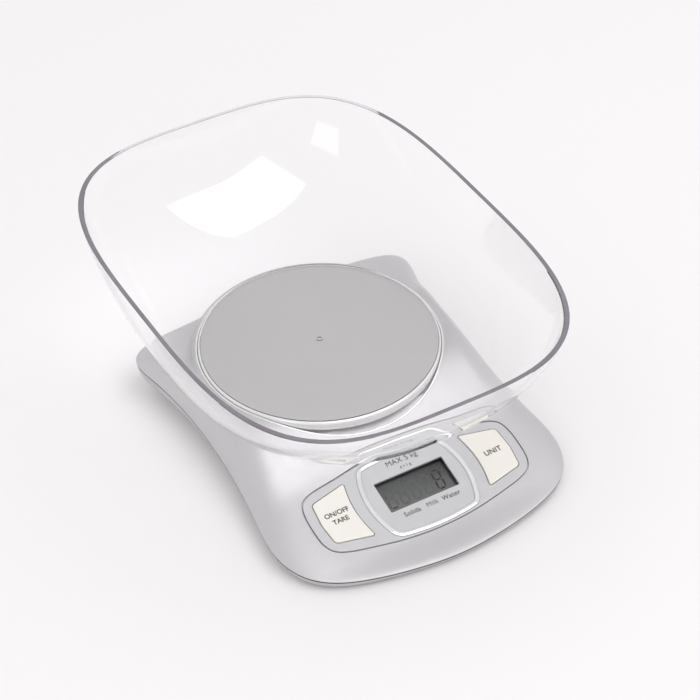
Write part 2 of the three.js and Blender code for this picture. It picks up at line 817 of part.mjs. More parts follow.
add("upper_housing", upperHousing(), "silverPaint");
add("lower_housing", lowerHousing(), "greyPlastic");
FEET.forEach((place, i) => add(`foot_${i + 1}`, foot(place), "rubber"));
HOUSING_SCREWS.forEach(([x, y], i) =>
  add(`housing_screw_${i + 1}`, screw(x, y, 3.7, 1, 3, 1, 1.35, 11), "steel"),
);

add("control_panel", controlPanel(), "silverPanel");
add("display_trim", displayTrim(), "chrome");
add("lcd_frame", lcdFrame(), "black");
add("display_lens", displayLens(), "clear");
add("lcd_glass", lcdGlass(), "lcd");
add("contact_strip", contactStrip(), "pinkRubber");
add("main_board", mainBoard(), "board");
add("chip_cover", chipCover(), "black");
BOARD_SCREWS.forEach(([x, y], i) =>
  add(`board_screw_${i + 1}`, onPanel(screw(x, y, LEVEL.boardBottom - 0.1, 1, 2.2, 0.9, 0.95, 4.8)), "steel"),
);
add("power_button", button(-1), "cream");
add("unit_button", button(1), "cream");
add("power_key_dome", keyDome(-1), "silicone");
add("unit_key_dome", keyDome(1), "silicone");

add("load_cell", loadCell(), "aluminium");
add("gauge_cover_top", gaugeCover(CELL.top + 0.1, CELL.top + 0.7), "silicone");
add("gauge_cover_bottom", gaugeCover(CELL.bottom - 0.7, CELL.bottom - 0.1), "silicone");
CELL_SCREWS_Y.forEach((y, i) => add(`cell_screw_${i + 1}`, screw(0, y, 5.8, 1, 3.6, 2.2, 1.95, 12), "steel"));
add("cell_bracket", cellBracket(), "steel");
BRACKET_SCREWS_Y.forEach((y, i) =>
  add(`bracket_screw_${i + 1}`, screw(0, y, BRACKET_TOP + 0.1, -1, 3.6, 2, 1.95, 12), "steel"),
);
add("platform_support", platformSupport(), "greyPlastic");
SUPPORT_SCREWS.forEach(([x, y], i) =>
  add(`support_screw_${i + 1}`, screw(x, y, 27.75, -1, 2.6, 1.4, 1.2, 4.6), "steel"),
);
add("platform", platform(), "silverPaint");
add("bowl", bowl(), "clear");

add("battery_door", box(DOOR.x, DOOR.y, [FLOOR_BOTTOM + 0.1, DOOR.top]), "greyPlastic");
BATTERY.x.forEach((x, i) => {
  const polarity = i === 0 ? 1 : -1;
  add(`battery_${i + 1}`, battery(x, polarity), "batteryWrap");
  add(`contact_spring_${i + 1}`, contactSpring(x, -polarity), "steel");
  add(`spring_plate_${i + 1}`, contactPlate(x, -polarity), "steel");
  add(`contact_plate_${i + 1}`, contactPlate(x, polarity), "steel");
});
add("cell_cable", bar(CELL_CABLE_ROUTE, 1.2), "whiteCable");
add("battery_lead_red", bar(LEAD_ROUTES.red, 0.7), "redLead");
add("battery_lead_black", bar(LEAD_ROUTES.black, 0.7), "blackLead");

export default new THREE.Group().add(scale);
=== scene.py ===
"""Looks of an electronic kitchen scale with a clear bowl, in a pale studio.

Lengths in the modelling functions are millimetres in the platform's own frame: the platform's axis
is X = Y = 0, the table is Z = 0 and the front of the scale faces -Y. `to_world` takes them to the
shared frame in metres.
"""

import json
import math
from functools import partial

import bpy
from mathutils import Matrix, Vector


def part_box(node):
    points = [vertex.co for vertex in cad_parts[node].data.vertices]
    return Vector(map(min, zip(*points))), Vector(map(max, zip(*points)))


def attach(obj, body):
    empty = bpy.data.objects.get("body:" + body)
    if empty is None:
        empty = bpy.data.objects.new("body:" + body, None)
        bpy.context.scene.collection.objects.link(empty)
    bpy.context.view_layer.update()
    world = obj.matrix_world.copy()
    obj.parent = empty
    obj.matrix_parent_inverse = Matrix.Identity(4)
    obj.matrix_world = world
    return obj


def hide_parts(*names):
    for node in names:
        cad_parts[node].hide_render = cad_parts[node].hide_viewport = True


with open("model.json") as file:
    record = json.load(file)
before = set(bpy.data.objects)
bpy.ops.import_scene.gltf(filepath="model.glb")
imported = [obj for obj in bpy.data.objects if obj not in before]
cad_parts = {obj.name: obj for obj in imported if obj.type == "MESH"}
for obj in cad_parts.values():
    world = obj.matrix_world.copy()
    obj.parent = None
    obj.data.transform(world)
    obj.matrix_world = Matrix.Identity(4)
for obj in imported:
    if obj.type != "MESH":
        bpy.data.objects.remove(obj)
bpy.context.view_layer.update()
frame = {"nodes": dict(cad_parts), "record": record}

MM = 0.001
PLATFORM_LOW, PLATFORM_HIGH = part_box("platform")
AXIS_Y = (PLATFORM_LOW.y + PLATFORM_HIGH.y) / 2

# ---- Driving dimensions, as in the CAD model (mm) ----
BASE_FRONT = 148.6
PLATFORM_RADIUS = (PLATFORM_HIGH.x - PLATFORM_LOW.x) / 2 / MM
PLATFORM_TOP = PLATFORM_HIGH.z / MM
PLATFORM_BOTTOM = PLATFORM_LOW.z / MM
WELL_RADIUS = 67.1
WELL_FLOOR_Z = 30.6
COLLAR_TOP = 37.2
WING_DROP = 10.4
SEAM_FRONT_Z = 5.1
SEAM_SLOPE = 0.0856
SHELL = 2.2
FLOOR_BOTTOM = 2.5
FLOOR_TOP = 4.5
GAP_ABOVE_SEAM = 0.25
GAP_BELOW_SEAM = 0.65

BOWL_HALF_WIDTH = 102.8
BOWL_HALF_LENGTH = 140.4
RIM_Z = 101.0
RIM_THICKNESS = 2.4
RIM_SQUARENESS = 3.42
BOWL_FLOOR_Z = 41.0
BOWL_FLOOR_RADIUS = 67.2
BOWL_FOOT_RADIUS = 68.0

PANEL_Y = -102.5
PANEL_Z = 15.5
PANEL_SLOPE = 0.255
PANEL_TILT = math.atan(PANEL_SLOPE)
PANEL_THICKNESS = 1.2
WINDOW_HALF_WIDTH = 20.9
WINDOW_HALF_HEIGHT = 9.7
TRIM_WIDTH = 2.7
LCD_TOP = -3.3

HALF_FOOTPRINT = [
    (0, -BASE_FRONT), (26, -146.2), (47, -142), (64, -136.4), (76.5, -128.4), (84, -116), (86.6, -102),
    (85, -87), (82.2, -68), (80, -46), (79, -22), (79.6, 0), (81.4, 18), (84.2, 34), (87.4, 46),
    (88.6, 53.5), (86, 59), (78, 61.8), (62, 64.2), (46, 65.8), (30, 68), (14, 71), (0, 72),
]
PANEL_OUTLINE = [
    (0, -27.8), (20, -26.6), (41, -22.8), (53, -19.9), (59.5, -16.6), (62.4, -10.5), (63, -2), (62.6, 8.6),
    (60.2, 15.6), (54.5, 18.4), (38, 21.1), (20, 24.2), (0, 25.4),
]
TRIM_OUTLINE = [
    (0, -26.9), (14, -26.1), (23.6, -24.4), (25.8, -22.4), (28.6, -15.6), (30.4, -8), (30.8, -1), (30.2, 6),
    (28.6, 13), (25.8, 19.6), (23.4, 21.8), (12, 23.2), (0, 23.7),
]


# ---- Small maths ----
def smooth(value, low, high):
    t = min(max((value - low) / (high - low), 0.0), 1.0)
    return t * t * (3 - 2 * t)


def hermite(y, y0, z0, slope0, y1, z1, slope1):
    """Cubic between two points with a slope at each."""
    width = y1 - y0
    t = (y - y0) / width
    a = 2 * t**3 - 3 * t**2 + 1
    b = t**3 - 2 * t**2 + t
    c = -2 * t**3 + 3 * t**2
    d = t**3 - t**2
    return a * z0 + b * width * slope0 + c * z1 + d * width * slope1


def resample(points, count):
    """`count` points evenly spaced along a closed polyline."""
    closed = points + [points[0]]
    lengths = [0.0]
    for a, b in zip(closed, closed[1:]):
        lengths.append(lengths[-1] + (b - a).length)
    result = []
    segment = 0
    for i in range(count):
        target = lengths[-1] * i / count
        while lengths[segment + 1] < target:
            segment += 1
        share = (target - lengths[segment]) / (lengths[segment + 1] - lengths[segment])
        result.append(closed[segment].lerp(closed[segment + 1], share))
    return result


def closed_curve(half, count):
    """A smooth closed outline from its right half, bottom to top, mirrored about the Y axis."""
    left = [(-x, y) for x, y in reversed(half) if x > 0]
    knots = [Vector((x, y)) for x, y in list(half) + left]
    total = len(knots)
    dense = []
    for i in range(total):
        p0, p1, p2, p3 = (knots[(i + k) % total] for k in (-1, 0, 1, 2))
        gaps = [math.sqrt((b - a).length) for a, b in ((p0, p1), (p1, p2), (p2, p3))]
        leave = (p1 - p0) / gaps[0] - (p2 - p0) / (gaps[0] + gaps[1]) + (p2 - p1) / gaps[1]
        arrive = (p2 - p1) / gaps[1] - (p3 - p1) / (gaps[1] + gaps[2]) + (p3 - p2) / gaps[2]
        for step in range(16):
            t = step / 16
            h = (2 * t**3 - 3 * t**2 + 1, t**3 - 2 * t**2 + t, -2 * t**3 + 3 * t**2, t**3 - t**2)
            dense.append(h[0] * p1 + h[1] * gaps[1] * leave + h[2] * p2 + h[3] * gaps[1] * arrive)
    return resample(dense, count)


def relaxed(ring, rounds):
    """The ring with its curvature evened out."""
    for _ in range(rounds):
        ring = [(ring[i - 1] + 2 * ring[i] + ring[(i + 1) % len(ring)]) / 4 for i in range(len(ring))]
    return ring


def inward_normals(ring):
    """Unit normals into an anticlockwise ring."""
    count = len(ring)
    result = []
    for i in range(count):
        along = ring[(i + 1) % count] - ring[i - 1]
        result.append(Vector((-along.y, along.x)).normalized())
    return result


def grown(ring, distance):
    return [p - n * distance for p, n in zip(ring, inward_normals(ring))]


# ---- Shape of the base ----
FOOTPRINT = relaxed(closed_curve(HALF_FOOTPRINT, 288), 14)
INWARD = inward_normals(FOOTPRINT)


def towards_spine(point):
    """Unit vector from a point of the outline to the base's middle line."""
    spine_y = min(max(0.8 * point.y, -100), 30)
    return Vector((-point.x, spine_y - point.y)).normalized()


def seam_z(y):
    return SEAM_FRONT_Z + SEAM_SLOPE * (y + BASE_FRONT)


def panel_z(y):
    return PANEL_Z + PANEL_SLOPE * (y - PANEL_Y)


def deck_z(x, y):
    """Height of the top of the base: level beside the platform, then a fall, the panel and an apron.

    Behind the platform's axis the two wings drop below the collar.
    """
    fall_front, fall_back = -86, -35
    apron_back, apron_front_z = -128, 6.9
    if y > fall_back:
        return COLLAR_TOP - WING_DROP * smooth(math.hypot(x, y), 60, 74) * smooth(y, 5, 40)
    if y > fall_front:
        return hermite(y, fall_front, panel_z(fall_front), PANEL_SLOPE, fall_back, COLLAR_TOP, 0)
    if y > apron_back:
        return panel_z(y)
    return hermite(y, -BASE_FRONT, apron_front_z, 0, apron_back, panel_z(apron_back), PANEL_SLOPE)


def ceiling_z(x, y):
    """Height of the ceiling inside the housing, which also stays under the platform's well."""
    return min(deck_z(x, y) - 0.9 * smooth(-y, 50, 70), WELL_FLOOR_Z) - SHELL


def edge_width(y):
    """Width of the rounded edge, seen from above."""
    return 9 + 10 * smooth(-y, 15, 60) - 4 * smooth(-y, 120, 145)


# ---- Meshes ----
def to_world(p):
    return Vector((p[0] * MM, p[1] * MM + AXIS_Y, p[2] * MM))


PANEL_FRAME = Matrix.Translation((0, PANEL_Y, PANEL_Z)) @ Matrix.Rotation(PANEL_TILT, 4, "X")


def on_panel(points):
    return [PANEL_FRAME @ Vector(p) for p in points]


def mesh_object(name, points, faces):
    mesh = bpy.data.meshes.new(name)
    mesh.from_pydata([to_world(p) for p in points], [], faces)
    mesh.update()
    made = bpy.data.objects.new(name, mesh)
    bpy.context.scene.collection.objects.link(made)
    return made


def ring_faces(rows, count, wrap=False):
    """Quads between neighbouring rings of `count` points; `wrap` also joins the last ring to the first."""
    faces = []
    pairs = [(row, row + 1) for row in range(rows - 1)]
    if wrap:
        pairs.append((rows - 1, 0))
    for low, high in pairs:
        for i in range(count):
            j = (i + 1) % count
            faces.append((low * count + i, low * count + j, high * count + j, high * count + i))
    return faces


def capped_loft(name, rings):
    """A closed body through anticlockwise rings, lowest first, with a fan at each end."""
    count = len(rings[0])
    points = [Vector(p) for ring in rings for p in ring]
    bottom = sum((Vector(p) for p in rings[0]), Vector()) / count
    top = sum((Vector(p) for p in rings[-1]), Vector()) / count
    faces = ring_faces(len(rings), count)
    last = (len(rings) - 1) * count
    total = len(points)
    for i in range(count):
        j = (i + 1) % count
        faces.append((total, j, i))
        faces.append((total + 1, last + i, last + j))
    return mesh_object(name, points + [bottom, top], faces)


def shell_loft(name, outer, inner):
    """An open shell: rings of the outside and of the inside, both starting at the open edge."""
    count = len(outer[0])
    points = [Vector(p) for ring in outer + inner for p in ring]
    start = len(outer) * count
    faces = ring_faces(len(outer), count)
    faces += [tuple(v + start for v in reversed(face)) for face in ring_faces(len(inner), count)]
    outer_last = start - count
    inner_last = start + (len(inner) - 1) * count
    total = len(points)
    for i in range(count):
        j = (i + 1) % count
        faces.append((i, start + i, start + j, j))
        faces.append((total, outer_last + i, outer_last + j))
        faces.append((total + 1, inner_last + j, inner_last + i))
    ends = [sum((Vector(p) for p in rings[-1]), Vector()) / count for rings in (outer, inner)]
    return mesh_object(name, points + ends, faces)


def ring_loft(name, rings):
    """A closed ring-shaped body: each ring is one line round it, and the last joins the first."""
    points = [p for ring in rings for p in ring]
    return mesh_object(name, points, ring_faces(len(rings), len(rings[0]), wrap=True))


def turned(name, profile, segments=128):
    """A closed body turned about the platform's axis. Profile points on the axis become one point."""
    points = []
    rows = []
    for radius, z in profile:
        if radius == 0:
            rows.append([len(points)] * segments)
            points.append((0, 0, z))
            continue
        rows.append(list(range(len(points), len(points) + segments)))
        for i in range(segments):
            angle = 2 * math.pi * i / segments
            points.append((radius * math.cos(angle), radius * math.sin(angle), z))
    if profile[0][0] > 0:
        rows.append(rows[0])
    faces = []
    for low, high in zip(rows, rows[1:]):
        for i in range(segments):
            j = (i + 1) % segments
            corner = [low[i], low[j], high[j], high[i]]
            face = [v for k, v in enumerate(corner) if v != corner[k - 1]]
            if len(face) > 2:
                faces.append(face)
    return mesh_object(name, points, faces)


def modified(obj, kind, **settings):
    """Adds a modifier and applies it."""
    modifier = obj.modifiers.new(kind, kind)
    for key, value in settings.items():
        setattr(modifier, key, value)
    graph = bpy.context.evaluated_depsgraph_get()
    graph.update()
    applied = bpy.data.meshes.new_from_object(obj.evaluated_get(graph))
    obj.modifiers.clear()
    old = obj.data
    obj.data = applied
    bpy.data.meshes.remove(old)
    return obj


def carve(obj, *tools):
    """Takes the tools out of the body and removes them."""
    for tool in tools:
        modified(obj, "BOOLEAN", operation="DIFFERENCE", object=tool, solver="EXACT")
        bpy.data.objects.remove(tool)
    return obj


def shade(obj, sharp_degrees=32):
    mesh = obj.data
    for polygon in mesh.polygons:
        polygon.use_smooth = True
    mesh.set_sharp_from_angle(angle=math.radians(sharp_degrees))
    return obj


def plate(name, ring, z0, z1, place=on_panel):
    """A flat plate from a 2D ring between two heights, placed on the control panel by default."""
    rings = [place([(p.x, p.y, z) for p in ring]) for z in (z0, z1)]
    count = len(ring)
    ends = [tuple(reversed(range(count))), tuple(range(count, 2 * count))]
    return mesh_object(name, rings[0] + rings[1], ring_faces(2, count) + ends)


def rounded_plate(name, ring, levels):
    """A plate on the control panel whose edge runs through (grow, z) levels, with flat ends."""
    rings = [on_panel([(p.x, p.y, z) for p in grown(ring, grow)]) for grow, z in levels]
    count = len(ring)
    last = (len(rings) - 1) * count
    ends = [tuple(reversed(range(count))), tuple(range(last, last + count))]
    return mesh_object(name, [p for r in rings for p in r], ring_faces(len(rings), count) + ends)


def box_body(name, x, y, z, place=on_panel):
    corners = [(x[0], y[0]), (x[1], y[0]), (x[1], y[1]), (x[0], y[1])]
    rings = [place([(cx, cy, level) for cx, cy in corners]) for level in z]
    faces = ring_faces(2, 4) + [(3, 2, 1, 0), (4, 5, 6, 7)]
    return mesh_object(name, rings[0] + rings[1], faces)


def as_placed(points):
    return [Vector(p) for p in points]


def post(name, x, y, radius, z0, z1, place=as_placed, segments=40):
    ring = [
        Vector((x + radius * math.cos(a), y + radius * math.sin(a)))
        for a in (2 * math.pi * i / segments for i in range(segments))
    ]
    return plate(name, ring, z0, z1, place)


def rounded_polygon(corners, radius, steps=6):
    """A 2D ring through corners, each one rounded by a quadratic curve."""
    ring = []
    count = len(corners)
    for i in range(count):
        here = Vector(corners[i])
        before = (Vector(corners[i - 1]) - here)
        after = (Vector(corners[(i + 1) % count]) - here)
        reach = min(radius, 0.45 * before.length, 0.45 * after.length)
        start = here + before.normalized() * reach
        end = here + after.normalized() * reach
        for k in range(steps + 1):
            t = k / steps
            ring.append(start * (1 - t) ** 2 + here * 2 * t * (1 - t) + end * t**2)
    return ring


# ---- Materials ----
class Nodes:
    """A material with one Principled shader and helpers to drive it."""

    def __init__(self, name, color, roughness, metallic=0.0, **sockets):
        self.material = bpy.data.materials.new(name)
        self.material.use_nodes = True
        self.tree = self.material.node_tree
        self.shader = self.tree.nodes["Principled BSDF"]
        self.set(self.shader, "Base Color", (*color, 1))
        self.set(self.shader, "Roughness", roughness)
        self.set(self.shader, "Metallic", metallic)
        for key, value in sockets.items():
            self.set(self.shader, key.replace("_", " "), value)
        self.place = self.node("ShaderNodeTexCoord").outputs["Object"]

    def node(self, kind, **sockets):
        made = self.tree.nodes.new(kind)
        for key, value in sockets.items():
            self.set(made, key.replace("_", " "), value)
        return made

    def set(self, node, socket, value):
        node.inputs[socket].default_value = value

    def link(self, source, node, socket):
        self.tree.links.new(source, node.inputs[socket])

    def noise(self, scale, detail=4.0, roughness=0.55):
        made = self.node("ShaderNodeTexNoise", Scale=scale, Detail=detail, Roughness=roughness)
        self.link(self.place, made, "Vector")
        return made.outputs["Fac"]

    def ramp(self, value, low, high, from_low=0.3, from_high=0.7):
        made = self.node("ShaderNodeMapRange")
        self.set(made, "From Min", from_low)
        self.set(made, "From Max", from_high)
        self.set(made, "To Min", low)
        self.set(made, "To Max", high)
        self.link(value, made, "Value")
        return made.outputs["Result"]

    def vary_color(self, value, low, high, from_low=0.3, from_high=0.7):
        made = self.node("ShaderNodeValToRGB")
        stops = made.color_ramp.elements
        stops[0].position = from_low
        stops[0].color = (*low, 1)
        stops[1].position = from_high
        stops[1].color = (*high, 1)
        self.link(value, made, "Fac")
        self.link(made.outputs["Color"], self.shader, "Base Color")

    def vary_roughness(self, value, low, high):
        self.link(self.ramp(value, low, high), self.shader, "Roughness")

    def bump(self, height, distance, strength=1.0):
        made = self.node("ShaderNodeBump", Strength=strength, Distance=distance)
        self.link(height, made, "Height")
        if self.shader.inputs["Normal"].is_linked:
            self.link(self.shader.inputs["Normal"].links[0].from_socket, made, "Normal")
        self.link(made.outputs["Normal"], self.shader, "Normal")


def silver_paint(name, color, roughness, flake):
    """Satin silver lacquer: fine metal flakes, a faint orange peel and a soft clear top."""
    m = Nodes(name, color, roughness, 0.6, Coat_Weight=0.1, Coat_Roughness=0.3, Specular_IOR_Level=0.5)
    flakes = m.noise(9000, 2)
    dark = tuple(c * (1 - flake) for c in color)
    light = tuple(min(c * (1 + flake), 1) for c in color)
    m.vary_color(flakes, dark, light)
    m.vary_roughness(m.noise(140, 3), roughness - 0.03, roughness + 0.04)
    m.bump(m.noise(900, 2), 0.000012, 0.35)
    return m.material


def plastic(name, color, roughness, grain=0.00002, spread=0.04, **sockets):
    """Moulded plastic: a fine grain, slight mottling and uneven gloss."""
    m = Nodes(name, color, roughness, **sockets)
    mottle = m.noise(60, 3)
    dark = tuple(c * (1 - spread) for c in color)
    light = tuple(min(c * (1 + spread), 1) for c in color)
    m.vary_color(mottle, dark, light)
    m.vary_roughness(m.noise(220, 3), max(roughness - 0.05, 0.02), roughness + 0.05)
    if grain:
        m.bump(m.noise(2500, 3), grain, 0.5)
    return m.material


def metal(name, color, roughness, scratches=0.00001):
    """Bare or plated metal with faint cloudiness and fine scratches."""
    m = Nodes(name, color, roughness, 1.0)
    m.vary_color(m.noise(120, 4), tuple(c * 0.93 for c in color), color)
    m.vary_roughness(m.noise(300, 4), roughness * 0.8, roughness * 1.25)
    m.bump(m.noise(1800, 3), scratches, 0.4)
    return m.material


def clear_plastic(name, tint, density, ior=1.5, shadow=0.93):
    """Clear moulded plastic. Lamps shine through it, so that it throws only a faint shadow."""
    m = Nodes(name, (1, 1, 1), 0.0, IOR=ior, Transmission_Weight=1.0)
    m.bump(m.noise(22, 2), 0.00002, 0.12)
    glass = m.shader.outputs["BSDF"]
    clear = m.node("ShaderNodeBsdfTransparent", Color=(shadow, shadow, shadow * 1.005, 1))
    mix = m.node("ShaderNodeMixShader")
    rays = m.node("ShaderNodeLightPath")
    m.link(rays.outputs["Is Shadow Ray"], mix, 0)
    m.link(glass, mix, 1)
    m.link(clear.outputs["BSDF"], mix, 2)
    out = m.tree.nodes["Material Output"]
    m.link(mix.outputs["Shader"], out, "Surface")
    if density:
        absorb = m.node("ShaderNodeVolumeAbsorption", Color=(*tint, 1), Density=density)
        m.link(absorb.outputs["Volume"], out, "Volume")
    return m.material


def rim_tint_and_painted_shade(name, color, clearness):
    """The cut edge of clear plastic: partly see-through, partly a soft violet grey. The violet is the
    plastic's own tint; the grey tone is painted light and shade standing in for light carried inside the
    rim.
    """
    m = Nodes(name, color, 0.25, IOR=1.49)
    m.vary_color(m.noise(40, 3), tuple(c * 0.9 for c in color), tuple(c * 1.1 for c in color))
    m.vary_roughness(m.noise(90, 3), 0.2, 0.32)
    clear = m.node("ShaderNodeBsdfTransparent", Color=(0.95, 0.94, 0.96, 1))
    mix = m.node("ShaderNodeMixShader", Fac=clearness)
    m.link(m.shader.outputs["BSDF"], mix, 1)
    m.link(clear.outputs["BSDF"], mix, 2)
    m.link(mix.outputs["Shader"], m.tree.nodes["Material Output"], "Surface")
    return m.material


def display_glass_painted_shade(name, light, dark):
    """Liquid crystal glass that darkens towards its far edge: painted shade, as if thrown by the walls of
    its deep window.
    """
    m = Nodes(name, light, 0.12)
    across = m.node("ShaderNodeVectorMath")
    across.operation = "DOT_PRODUCT"
    direction = Vector((0.22, 1, 0))
    across.inputs[1].default_value = direction
    m.link(m.place, across, 0)
    middle = to_world(PANEL_FRAME @ Vector((0, 0, LCD_TOP))).dot(direction)
    # painted shade: the glass runs from its light colour to its dark one across the window
    painted_shade_share = m.ramp(across.outputs["Value"], 0, 1, middle - 0.009, middle + 0.014)
    m.vary_color(painted_shade_share, light, dark, 0, 1)
    m.vary_roughness(m.noise(400, 2), 0.1, 0.16)
    return m.material


MATERIALS = {
    "silver_paint": silver_paint("silver_paint", (0.59, 0.58, 0.595), 0.44, 0.06),
    "platform_paint": silver_paint("platform_paint", (0.62, 0.61, 0.615), 0.47, 0.05),
    "silver_panel": silver_paint("silver_panel", (0.60, 0.595, 0.61), 0.5, 0.06),
    "grey_plastic": plastic("grey_plastic", (0.52, 0.515, 0.52), 0.5),
    "button_plastic": plastic("button_plastic", (0.88, 0.85, 0.79), 0.33, 0.000008, 0.012, Coat_Weight=0.3),
    "chrome_trim": metal("chrome_trim", (0.92, 0.92, 0.93), 0.05, 0.000002),
    "clear_window": clear_plastic("clear_window", (1, 1, 1), 0, 1.25),
    "clear_plastic": clear_plastic("clear_plastic", (0.90, 0.86, 0.92), 10.0, 1.49),
    # the display glass darkens towards its far edge as painted shade from the window's walls
    "lcd": display_glass_painted_shade("lcd", (0.15, 0.156, 0.153), (0.02, 0.021, 0.021)),
    "black_plastic": plastic("black_plastic", (0.012, 0.012, 0.013), 0.5),
    "contact_rubber": plastic("contact_rubber", (0.62, 0.33, 0.31), 0.7),
    "circuit_board": plastic("circuit_board", (0.02, 0.16, 0.06), 0.35),
    "silicone": plastic("silicone", (0.80, 0.79, 0.75), 0.5, Transmission_Weight=0.15),
    "aluminium": metal("aluminium", (0.80, 0.81, 0.82), 0.3, 0.00003),
    "zinc_steel": metal("zinc_steel", (0.62, 0.62, 0.64), 0.28),
    "nickel_steel": metal("nickel_steel", (0.66, 0.63, 0.58), 0.22),
    "rubber": plastic("rubber", (0.035, 0.035, 0.036), 0.85, 0.00004),
    "battery_wrap": plastic("battery_wrap", (0.06, 0.13, 0.28), 0.3, 0.000005),
    "white_cable": plastic("white_cable", (0.80, 0.80, 0.78), 0.45),
    "red_lead": plastic("red_lead", (0.45, 0.02, 0.015), 0.4),
    "black_lead": plastic("black_lead", (0.015, 0.015, 0.016), 0.4),
}
# Glossier, much lighter copy of the silver paint for the rounded edges of the platform and its well: the
# gloss is real, the lighter colour is a painted highlight.
POLISHED_EDGE_PAINTED_HIGHLIGHT = silver_paint("polished_edge_painted_highlight", (0.93, 0.925, 0.93), 0.2, 0.02)
# The rim's flat top and its rounded edges: the violet is the plastic's own tint, while the lighter top and
# the darker edges are painted light and shade.
RIM_TINT_AND_PAINTED_SHADE = rim_tint_and_painted_shade("bowl_rim", (0.62, 0.57, 0.64), 0.6)
RIM_EDGE_TINT_AND_PAINTED_SHADE = rim_tint_and_painted_shade("bowl_rim_edge_tint_and_painted_shade", (0.36, 0.30, 0.37), 0.35)
INK = plastic("dark_ink", (0.03, 0.03, 0.035), 0.6, 0)
LCD_INK = plastic("lcd_segment", (0.004, 0.004, 0.004), 0.4, 0, Specular_IOR_Level=0.2)
LCD_GHOST = plastic("lcd_ghost_segment", (0.05, 0.053, 0.052), 0.3, 0)


def finish_piece(obj, body, slot, *nodes, material=None):
    """Gives a new piece its material and its body, and hides the CAD nodes it stands for."""
    obj.data.materials.clear()
    obj.data.materials.append(material or MATERIALS[slot])
    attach(obj, body)
    if nodes:
        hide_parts(*nodes)
    return obj


# ---- Base ----
def edge_ring(inset, turn, top_z):
    """A ring on the rounded edge of the base: `turn` runs from 0 at the seam to a quarter turn on top."""
    ring = []
    for point, normal in zip(FOOTPRINT, INWARD):
        p = point + normal * inset + towards_spine(point) * edge_width(point.y) * (1 - math.cos(turn))
        seam = seam_z(p.y)
        ring.append((p.x, p.y, seam + (top_z(p.x, p.y) - seam) * math.sin(turn)))
    return ring


def deck_rings(inset, top_z, edge_steps, deck_steps):
    """Rings from the seam over the rounded edge and across the top to its middle."""
    rings = [edge_ring(inset, math.pi / 2 * k / edge_steps, top_z) for k in range(edge_steps + 1)]
    rings[0] = [(x, y, z + GAP_ABOVE_SEAM) for x, y, z in rings[0]]
    outer = rings[-1]
    for k in range(1, deck_steps):
        share = 1 - k / deck_steps
        ring = [(x * share, -40 + (y + 40) * share) for x, y, _ in outer]
        rings.append([(x, y, top_z(x, y)) for x, y in ring])
    return rings


def button_ring(side, grow=0.0):
    """One key's outline; `grow` moves it out."""
    inner, bulge = 35.2, 2.6
    heights = (-14, -10, -5, 0, 5, 10, 14)
    arc = [(inner + bulge * math.cos(math.pi / 2 * v / 17.4), -0.4 - v) for v in heights]
    corners = [(inner, -17.6), (56.2, -13.2), (57.6, -1), (56.4, 12.2), (inner, 16.8)] + arc
    ring = [Vector((side * p.x, p.y)) for p in rounded_polygon(corners, 1.8)]
    if side < 0:
        ring.reverse()
    return grown(resample(ring, 120), grow)


def window_ring(grow=0.0, radius=0.7):
    """The display window's outline; `grow` moves it out."""
    w, h = WINDOW_HALF_WIDTH + grow, WINDOW_HALF_HEIGHT + grow
    return rounded_polygon([(-w, -h), (w, -h), (w, h), (-w, h)], radius)


PANEL_RING = relaxed(closed_curve(PANEL_OUTLINE, 220), 6)
TRIM_RING = relaxed(closed_curve(TRIM_OUTLINE, 200), 3)


def upper_housing():
    """The silver shell, with the platform's well, the panel's pocket and the holes under it."""
    outside = deck_rings(0, deck_z, 18, 64)
    inside = deck_rings(SHELL, ceiling_z, 6, 32)
    shell = shell_loft("upper_housing_shell", outside, inside)
    tools = [
        post("well", 0, 0, WELL_RADIUS, WELL_FLOOR_Z, RIM_Z, segments=224),
        post("hub_hole", 0, 0, 26, WELL_FLOOR_Z - 10, WELL_FLOOR_Z + 5, segments=96),
        plate("pocket", grown(PANEL_RING, 0.75), -PANEL_THICKNESS - 0.15, 9),
        plate("window_hole", window_ring(4.2), -6, 1),
        plate("left_hole", button_ring(-1, 1.5), -6, 1),
        plate("right_hole", button_ring(1, 1.5), -6, 1),
    ]
    carve(shell, *tools)
    shade(shell, 35)
    return finish_piece(shell, "base", "silver_paint", "upper_housing")


def platform_collar():
    """The collar round the back half of the platform, above the low wings."""
    r, z = WELL_RADIUS, COLLAR_TOP - 0.03
    profile = [
        (r, 25.8), (76.5, 25.8), (76, 26.3), (73.6, 27.4), (71.9, 29.2), (70.9, 31.4), (70.3, 34),
        (69.9, z - 0.8), (69.6, z - 0.25), (69.1, z), (r + 0.5, z), (r + 0.12, z - 0.12), (r, z - 0.5),
    ]
    collar = turned("platform_collar", profile, 224)
    outline = [[(q.x, q.y, level) for q in grown(FOOTPRINT, -0.25)] for level in (24, RIM_Z)]
    within = capped_loft("collar_limit", outline)
    modified(collar, "BOOLEAN", operation="INTERSECT", object=within, solver="EXACT")
    bpy.data.objects.remove(within)
    carve(collar, box_body("front_half", (-90, 90), (-90, 0), (20, RIM_Z), as_placed))
    shade(collar, 50)
    return finish_piece(collar, "base", "silver_paint")


def well_edge():
    """The rounded bead round the mouth of the platform's well; it follows the top of the base. Its lighter
    paint is a painted highlight.
    """
    rings = []
    for k in range(10):
        a = 2 * math.pi * k / 10
        ring = []
        for i in range(224):
            turn = 2 * math.pi * i / 224
            radius = WELL_RADIUS + 0.55 + 0.55 * math.cos(a)
            x, y = radius * math.cos(turn), radius * math.sin(turn)
            base_z = COLLAR_TOP if y > 0 else deck_z(x, y)
            ring.append(Vector((x, y, base_z + 0.05 + 0.35 * math.sin(a))))
        rings.append(ring)
    bead = ring_loft("well_edge", rings)
    shade(bead, 80)
    return finish_piece(bead, "base", "silver_paint", material=POLISHED_EDGE_PAINTED_HIGHLIGHT)


